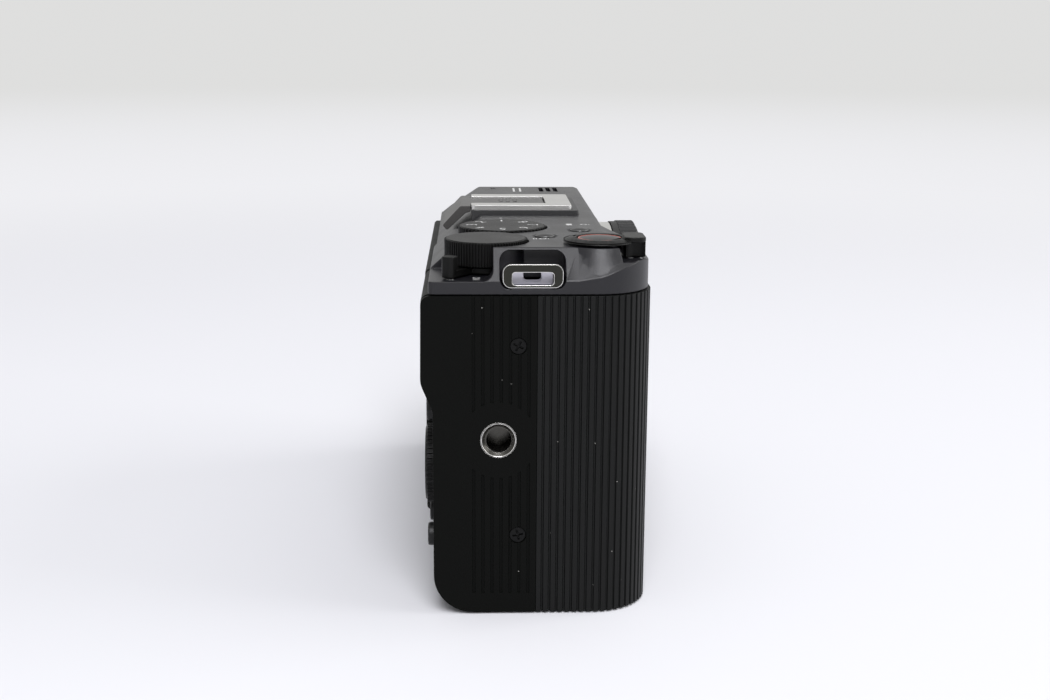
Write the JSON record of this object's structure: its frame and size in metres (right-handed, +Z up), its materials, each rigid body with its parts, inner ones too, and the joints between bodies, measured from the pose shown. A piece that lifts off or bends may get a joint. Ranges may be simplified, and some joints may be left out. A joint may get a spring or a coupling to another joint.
{
  "type": "mirrorless camera body",
  "caption": "Compact interchangeable-lens camera body with a capped round lens mount, ribbed grip, deck dials, covered accessory shoe and a side-hinged rear screen",
  "frame": {"origin": "centre of the bounding box on the plane that the camera stands on", "axes": "+Z up, +X along the width away from the hand grip, -Y the way the lens points"},
  "size_m": [0.1194, 0.0476, 0.0737],
  "materials": {
    "moulded_body": "fine grained moulded black",
    "mount_collar": "satin turned",
    "top_deck": "smooth charcoal",
    "rubber_grip": "ribbed matt",
    "port_rubber": "matt",
    "dial_plastic": "matt, toothed rim",
    "button_plastic": "satin",
    "cap_plastic": "matt, ribbed rim",
    "shoe_plastic": "satin",
    "bright_metal": "turned satin",
    "shoe_metal": "bare satin sheet",
    "lug_metal": "dark satin",
    "sheet_steel": "plain",
    "screw_steel": "blackened",
    "gold_contacts": "plated",
    "dark_interior": "dull black",
    "cast_frame": "as cast",
    "circuit_board": "lacquered",
    "cell_case": "smooth",
    "clear_glass": "coated",
    "screen_glass": "polished black",
    "sensor_face": "coated",
    "hinge_metal": "black satin"
  },
  "bodies": {
    "main_dial": {"main_dial": "dial_plastic"},
    "mode_dial": {"mode_dial": "dial_plastic"},
    "power_switch": {"power_switch": "dial_plastic"},
    "shutter_button": {"shutter_button": "button_plastic"},
    "zoom_lever": {"zoom_lever": "dial_plastic"},
    "record_button": {"record_button": "button_plastic"},
    "still_movie_button": {"still_movie_button": "button_plastic"},
    "control_wheel": {"control_wheel": "dial_plastic"},
    "set_button": {"set_button": "button_plastic"},
    "menu_button": {"menu_button": "button_plastic"},
    "function_button": {"function_button": "button_plastic"},
    "playback_button": {"playback_button": "button_plastic"},
    "delete_button": {"delete_button": "button_plastic"},
    "release_button": {"release_button": "button_plastic"},
    "lock_pin": {"lock_pin": "bright_metal"},
    "body_cap": {"body_cap": "cap_plastic"},
    "hot_shoe_cover": {"hot_shoe_cover": "shoe_plastic"},
    "screen": {"screen_panel": "moulded_body", "screen_glass": "screen_glass", "screen_hinge": "hinge_metal"},
    "battery_door": {"battery_door": "moulded_body"},
    "battery_latch": {"battery_latch": "button_plastic"},
    "microphone_door": {"microphone_door": "port_rubber"},
    "cable_door": {"cable_door": "port_rubber"},
    "root": {"front_cover": "moulded_body", "rear_cover": "moulded_body", "bottom_cover": "moulded_body", "port_side_panel": "moulded_body", "grip_side_panel": "moulded_body", "mount_boss": "mount_collar", "top_cover": "top_deck", "grip_rubber": "rubber_grip", "hot_shoe_frame": "shoe_plastic", "lens_mount_ring": "bright_metal", "side_tripod_socket": "bright_metal", "bottom_tripod_socket": "bright_metal", "hot_shoe_rails": "shoe_metal", "strap_lugs": "lug_metal", "card_slot": "sheet_steel", "hinge_pins": "sheet_steel", "usb_socket": "sheet_steel", "hdmi_socket": "sheet_steel", "sensor_bracket": "sheet_steel", "mount_screws": "screw_steel", "case_screws": "screw_steel", "lens_contacts": "gold_contacts", "shoe_contacts": "gold_contacts", "light_box": "dark_interior", "contact_block": "dark_interior", "shutter_unit": "dark_interior", "battery_bay": "dark_interior", "release_guide": "dark_interior", "dial_encoders": "dark_interior", "audio_jacks": "dark_interior", "chassis": "cast_frame", "main_board": "circuit_board", "battery": "cell_case", "memory_card": "cell_case", "sensor_glass": "clear_glass", "image_sensor": "sensor_face"}
  },
  "joints": [
    {"name": "main_dial_turn", "type": "hinge", "parent": "root", "child": "main_dial", "pos_m": [-0.0458, 0.0112, 0.07245], "axis": [0, 0, 1], "continuous": true},
    {"name": "mode_dial_turn", "type": "hinge", "parent": "root", "child": "mode_dial", "pos_m": [-0.026, 0.00765, 0.0722], "axis": [0, 0, 1], "continuous": true},
    {"name": "power_switch_turn", "type": "hinge", "parent": "root", "child": "power_switch", "pos_m": [-0.0458, 0.0112, 0.066], "axis": [0, 0, 1], "range_deg": [0, 24.5]},
    {"name": "shutter_press", "type": "slide", "parent": "root", "child": "shutter_button", "axis": [0, 0, -1], "range_m": [0, 0.001], "stiffness_N_per_m": 400},
    {"name": "zoom_lever_turn", "type": "hinge", "parent": "root", "child": "zoom_lever", "pos_m": [-0.049, -0.0107, 0.0692], "axis": [0, 0, 1], "range_deg": [-18, 18], "stiffness_Nm_per_rad": 0.02},
    {"name": "record_press", "type": "slide", "parent": "root", "child": "record_button", "axis": [0, 0, -1], "range_m": [0, 0.0006], "stiffness_N_per_m": 400},
    {"name": "still_movie_press", "type": "slide", "parent": "root", "child": "still_movie_button", "axis": [0, 0, -1], "range_m": [0, 0.0006], "stiffness_N_per_m": 400},
    {"name": "control_wheel_turn", "type": "hinge", "parent": "root", "child": "control_wheel", "pos_m": [-0.043, 0.0215, 0.026], "axis": [0, 1, 0], "continuous": true},
    {"name": "set_press", "type": "slide", "parent": "root", "child": "set_button", "axis": [0, -1, 0], "range_m": [0, 0.0005], "stiffness_N_per_m": 400},
    {"name": "menu_press", "type": "slide", "parent": "root", "child": "menu_button", "axis": [0, -1, 0], "range_m": [0, 0.0005], "stiffness_N_per_m": 400},
    {"name": "function_press", "type": "slide", "parent": "root", "child": "function_button", "axis": [0, -1, 0], "range_m": [0, 0.0005], "stiffness_N_per_m": 400},
    {"name": "playback_press", "type": "slide", "parent": "root", "child": "playback_button", "axis": [0, -1, 0], "range_m": [0, 0.0005], "stiffness_N_per_m": 400},
    {"name": "delete_press", "type": "slide", "parent": "root", "child": "delete_button", "axis": [0, -1, 0], "range_m": [0, 0.0005], "stiffness_N_per_m": 400},
    {"name": "release_press", "type": "slide", "parent": "root", "child": "release_button", "axis": [0, 1, 0], "range_m": [0, 0.0016], "stiffness_N_per_m": 400},
    {"name": "lock_pin_slide", "type": "slide", "parent": "root", "child": "lock_pin", "axis": [0, 1, 0], "range_m": [0, 0.0016]},
    {"name": "body_cap_pull", "type": "slide", "parent": "root", "child": "body_cap", "axis": [0, -1, 0], "range_m": [0, 0.03]},
    {"name": "hot_shoe_cover_slide", "type": "slide", "parent": "root", "child": "hot_shoe_cover", "axis": [0, 1, 0], "range_m": [0, 0.022]},
    {"name": "screen_swing", "type": "hinge", "parent": "root", "child": "screen", "pos_m": [0.057, 0.02135, 0.036], "axis": [0, 0, -1], "range_deg": [0, 175]},
    {"name": "battery_door_turn", "type": "hinge", "parent": "root", "child": "battery_door", "pos_m": [-0.0274, -0.0017, 0.0008], "axis": [0, -1, 0], "range_deg": [0, 90]},
    {"name": "battery_latch_slide", "type": "slide", "parent": "battery_door", "child": "battery_latch", "axis": [1, 0, 0], "range_m": [0, 0.0016]},
    {"name": "microphone_door_turn", "type": "hinge", "parent": "root", "child": "microphone_door", "pos_m": [0.0588, -0.0084, 0.05], "axis": [0, 0, -1], "range_deg": [0, 90]},
    {"name": "cable_door_turn", "type": "hinge", "parent": "root", "child": "cable_door", "pos_m": [0.0588, -0.0084, 0.0245], "axis": [0, 0, -1], "range_deg": [0, 90]}
  ],
  "couplings": [
    {"joint": "lock_pin_slide", "follows": "release_press", "ratio": 1}
  ]
}
